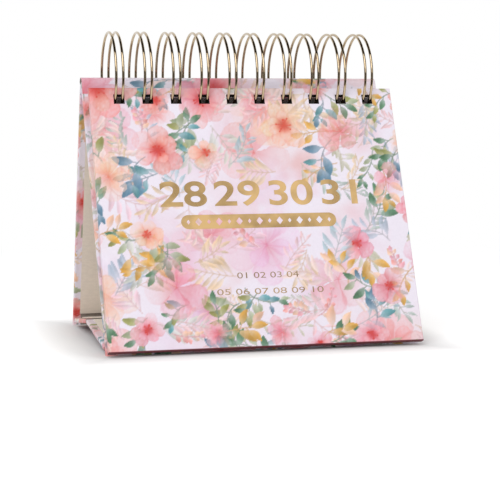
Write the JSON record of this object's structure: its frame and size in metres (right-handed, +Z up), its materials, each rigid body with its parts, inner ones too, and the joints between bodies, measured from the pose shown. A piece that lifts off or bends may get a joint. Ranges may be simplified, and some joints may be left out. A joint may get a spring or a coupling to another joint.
{
  "type": "daily flip calendar",
  "caption": "Standing hardcover flip calendar: a printed cover and leaves hang on a gold double-loop wire from a folding easel with a hinged base.",
  "frame": {"origin": "middle of the footprint, on the table", "axes": "+Z up, +X along the binding to the reader's right, -Y towards the reader"},
  "size_m": [0.139, 0.1034, 0.1371],
  "materials": {
    "cover_print": "printed, silk laminated",
    "easel_print": "printed, silk laminated",
    "endpaper": "uncoated, matt",
    "leaf_paper": "uncoated, matt",
    "gold_wire": "gold lacquered steel wire, glossy"
  },
  "bodies": {
    "front_leg": {"front_leg_board": "easel_print", "front_leg_endpaper": "endpaper", "top_hinge_strip": "easel_print", "wire_binding": "gold_wire"},
    "front_cover": {"front_cover_board": "cover_print"},
    "leaf_1": {"leaf_1": "leaf_paper"},
    "leaf_2": {"leaf_2": "leaf_paper"},
    "leaf_3": {"leaf_3": "leaf_paper"},
    "page_block": {"page_block": "leaf_paper"},
    "back_leg": {"back_leg_board": "easel_print", "back_leg_endpaper": "endpaper"},
    "front_base": {"front_base_panel": "easel_print", "front_base_endpaper": "endpaper"},
    "rear_base": {"rear_base_panel": "easel_print", "rear_base_endpaper": "endpaper"}
  },
  "joints": [
    {"name": "cover_turn", "type": "hinge", "parent": "front_leg", "child": "front_cover", "pos_m": [0, 0.0092, 0.1175], "axis": [1, 0, 0], "range_deg": [-225, 0]},
    {"name": "leaf_1_turn", "type": "hinge", "parent": "front_leg", "child": "leaf_1", "pos_m": [0, 0.0092, 0.1175], "axis": [1, 0, 0], "range_deg": [-221.63, 0]},
    {"name": "leaf_2_turn", "type": "hinge", "parent": "front_leg", "child": "leaf_2", "pos_m": [0, 0.0092, 0.1175], "axis": [1, 0, 0], "range_deg": [-218.25, 0]},
    {"name": "leaf_3_turn", "type": "hinge", "parent": "front_leg", "child": "leaf_3", "pos_m": [0, 0.0092, 0.1175], "axis": [1, 0, 0], "range_deg": [-214.88, 0]},
    {"name": "page_block_turn", "type": "hinge", "parent": "front_leg", "child": "page_block", "pos_m": [0, 0.0092, 0.1175], "axis": [1, 0, 0], "range_deg": [-209.25, 0]},
    {"name": "easel_fold", "type": "hinge", "parent": "front_leg", "child": "back_leg", "pos_m": [0, 0.0177, 0.1136], "axis": [1, 0, 0], "range_deg": [-25, 0]},
    {"name": "front_base_fold", "type": "hinge", "parent": "front_leg", "child": "front_base", "pos_m": [0, -0.041, 0.0032], "axis": [1, 0, 0], "range_deg": [0, 36]},
    {"name": "ridge_fold", "type": "hinge", "parent": "front_base", "child": "rear_base", "pos_m": [0, 0.00889, 0.00639], "axis": [1, 0, 0], "range_deg": [-156, 0]}
  ],
  "couplings": [
    {"joint": "leaf_1_turn", "follows": "cover_turn", "ratio": 0.985},
    {"joint": "leaf_2_turn", "follows": "cover_turn", "ratio": 0.97},
    {"joint": "leaf_3_turn", "follows": "cover_turn", "ratio": 0.955},
    {"joint": "page_block_turn", "follows": "cover_turn", "ratio": 0.93},
    {"joint": "front_base_fold", "follows": "easel_fold", "ratio": -1.44},
    {"joint": "ridge_fold", "follows": "easel_fold", "ratio": 6.24}
  ]
}
